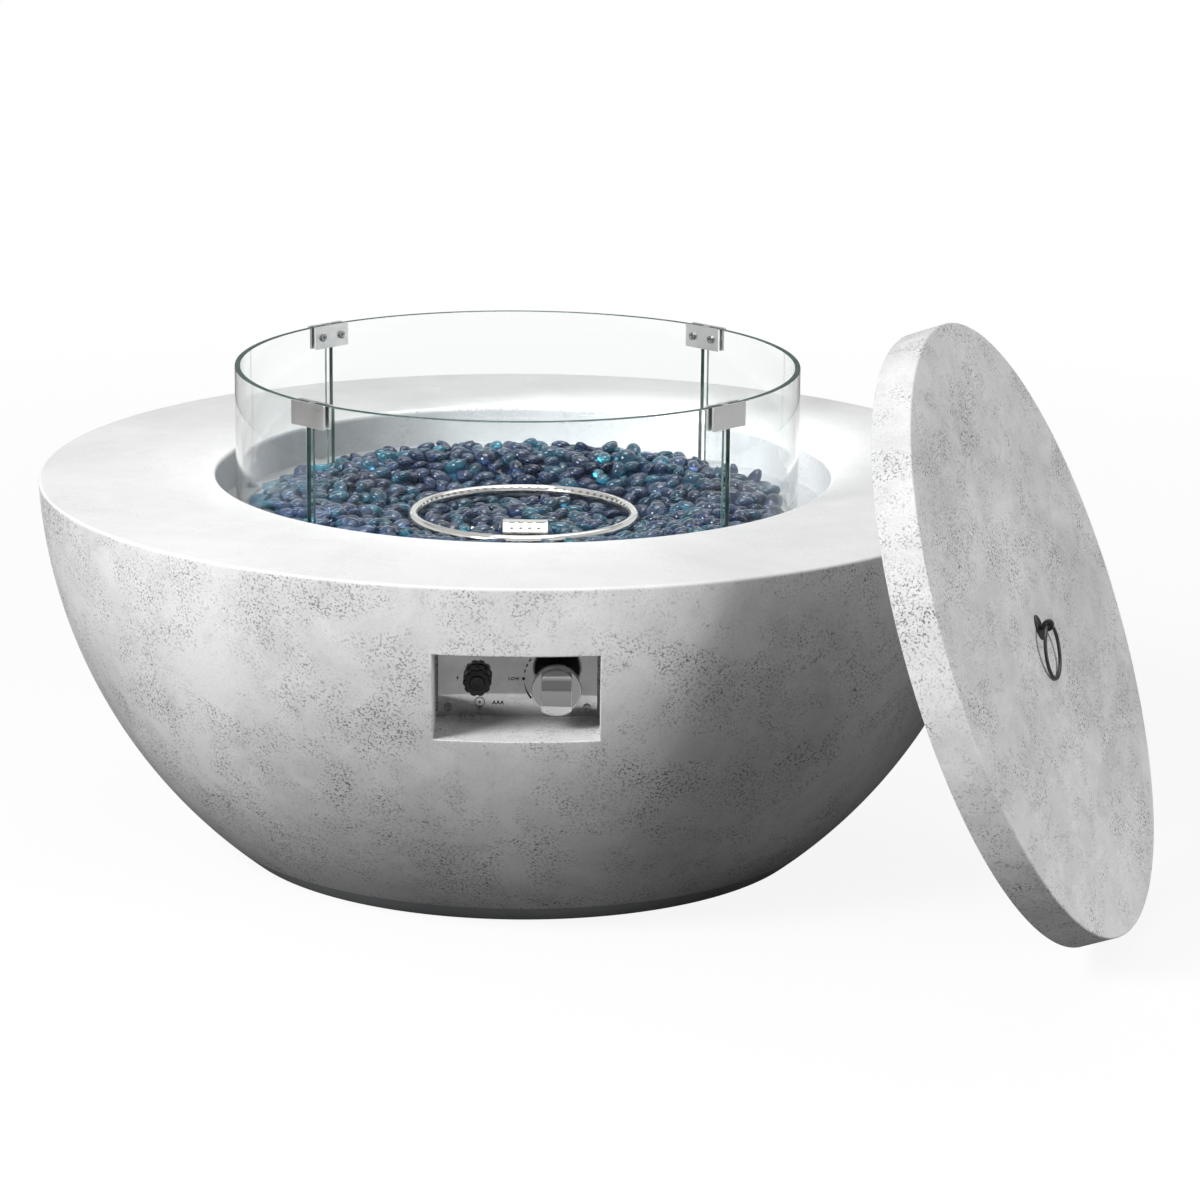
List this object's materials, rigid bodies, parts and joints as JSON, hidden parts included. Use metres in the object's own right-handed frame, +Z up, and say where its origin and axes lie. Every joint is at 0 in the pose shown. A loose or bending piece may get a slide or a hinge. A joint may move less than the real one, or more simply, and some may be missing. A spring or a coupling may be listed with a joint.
{
  "type": "gas fire bowl",
  "caption": "Round concrete-look gas fire bowl with a ring burner in blue fire glass, a lift-off curved glass wind guard, a control niche and a round lid leaning on its rim.",
  "frame": {"origin": "middle of the bowl's flat base, on the ground", "axes": "+Z up; the control niche faces -Y; the lid leans on the rim on the +X side"},
  "size_m": [1.2248, 1.1697, 0.6336],
  "materials": {
    "concrete": "light grey concrete look with mottled dark specks, matt",
    "lid_concrete": "light grey concrete look with mottled dark specks, matt",
    "lid_filling": "light foam filling, hidden",
    "pan_steel": "stainless sheet, satin",
    "burner_steel": "stainless tube, bright",
    "polished_steel": "stainless sheet, mirror polished",
    "clamp_steel": "stainless, fine brushed",
    "screw_steel": "zinc plated or stainless, bright",
    "brass": "machined brass",
    "knob_chrome": "bright chrome",
    "black_plastic": "black, satin",
    "ceramic_white": "white unglazed ceramic",
    "battery_label": "plain printed sleeve",
    "fire_glass": "blue and teal tumbled glass",
    "guard_glass": "clear tempered glass, greenish at its edges",
    "clear_pad": "translucent silicone",
    "wire_cover": "red silicone insulation",
    "copper_lead": "copper capillary",
    "hose_metal": "corrugated stainless hose",
    "hose_rubber": "black rubber hose",
    "black_iron": "black powder coat, satin"
  },
  "bodies": {
    "bowl": {"bowl_shell": "concrete", "burner_pan": "pan_steel", "ring_burner": "burner_steel", "burner_nipple": "brass", "nipple_nuts": "screw_steel", "air_mixer": "brass", "igniter_shield": "burner_steel", "shield_screws": "screw_steel", "electrode_sleeve": "ceramic_white", "spark_electrode": "screw_steel", "thermocouple": "copper_lead", "fire_glass_bed": "fire_glass", "control_plate": "polished_steel", "plate_screws": "screw_steel", "valve_body": "brass", "valve_nut": "screw_steel", "igniter_body": "black_plastic", "igniter_nut": "black_plastic", "battery": "battery_label", "ignition_wire": "wire_cover", "thermocouple_lead": "copper_lead", "burner_hose": "hose_metal", "inlet_hose": "hose_rubber", "hose_nuts": "brass", "gas_inlet": "brass", "inlet_locknut": "screw_steel"},
    "wind_guard": {"glass_front": "guard_glass", "glass_right": "guard_glass", "glass_back": "guard_glass", "glass_left": "guard_glass", "clamp_front_left": "clamp_steel", "clamp_front_right": "clamp_steel", "clamp_back_right": "clamp_steel", "clamp_back_left": "clamp_steel", "clamp_screws": "screw_steel", "clamp_pads": "clear_pad"},
    "lid": {"lid_shell": "lid_concrete", "lid_core": "lid_filling", "lid_back_panel": "lid_concrete", "handle_plate": "black_iron", "handle_eye": "black_iron", "handle_washer": "screw_steel", "handle_nut": "screw_steel"},
    "lid_ring": {"ring_handle": "black_iron"},
    "valve": {"valve_plug": "brass"},
    "knob": {"valve_stem": "brass", "knob_core": "black_plastic", "gas_knob": "knob_chrome"},
    "cap": {"igniter_cap": "black_plastic"},
    "button": {"igniter_button": "black_plastic"}
  },
  "joints": [
    {"name": "guard_lift", "type": "slide", "parent": "bowl", "child": "wind_guard", "axis": [0, 0, 1], "range_m": [0, 0.2]},
    {"name": "lid_away", "type": "slide", "parent": "bowl", "child": "lid", "axis": [0.9489, -0.3156, 0], "range_m": [0, 0.4]},
    {"name": "handle_swing", "type": "hinge", "parent": "lid", "child": "lid_ring", "pos_m": [0.54986, -0.32413, 0.32872], "axis": [-0.3156, -0.9489, 0], "range_deg": [0, 160]},
    {"name": "valve_turn", "type": "hinge", "parent": "bowl", "child": "valve", "pos_m": [0.04, -0.4, 0.291], "axis": [0, -1, 0], "range_deg": [0, 180]},
    {"name": "knob_push", "type": "slide", "parent": "valve", "child": "knob", "axis": [0, 1, 0], "range_m": [0, 0.005], "stiffness_N_per_m": 1500, "springref_m": -0.003},
    {"name": "cap_off", "type": "slide", "parent": "bowl", "child": "cap", "axis": [0, -1, 0], "range_m": [0, 0.03]},
    {"name": "button_push", "type": "slide", "parent": "cap", "child": "button", "axis": [0, 1, 0], "range_m": [0, 0.003], "stiffness_N_per_m": 400, "springref_m": -0.003}
  ]
}
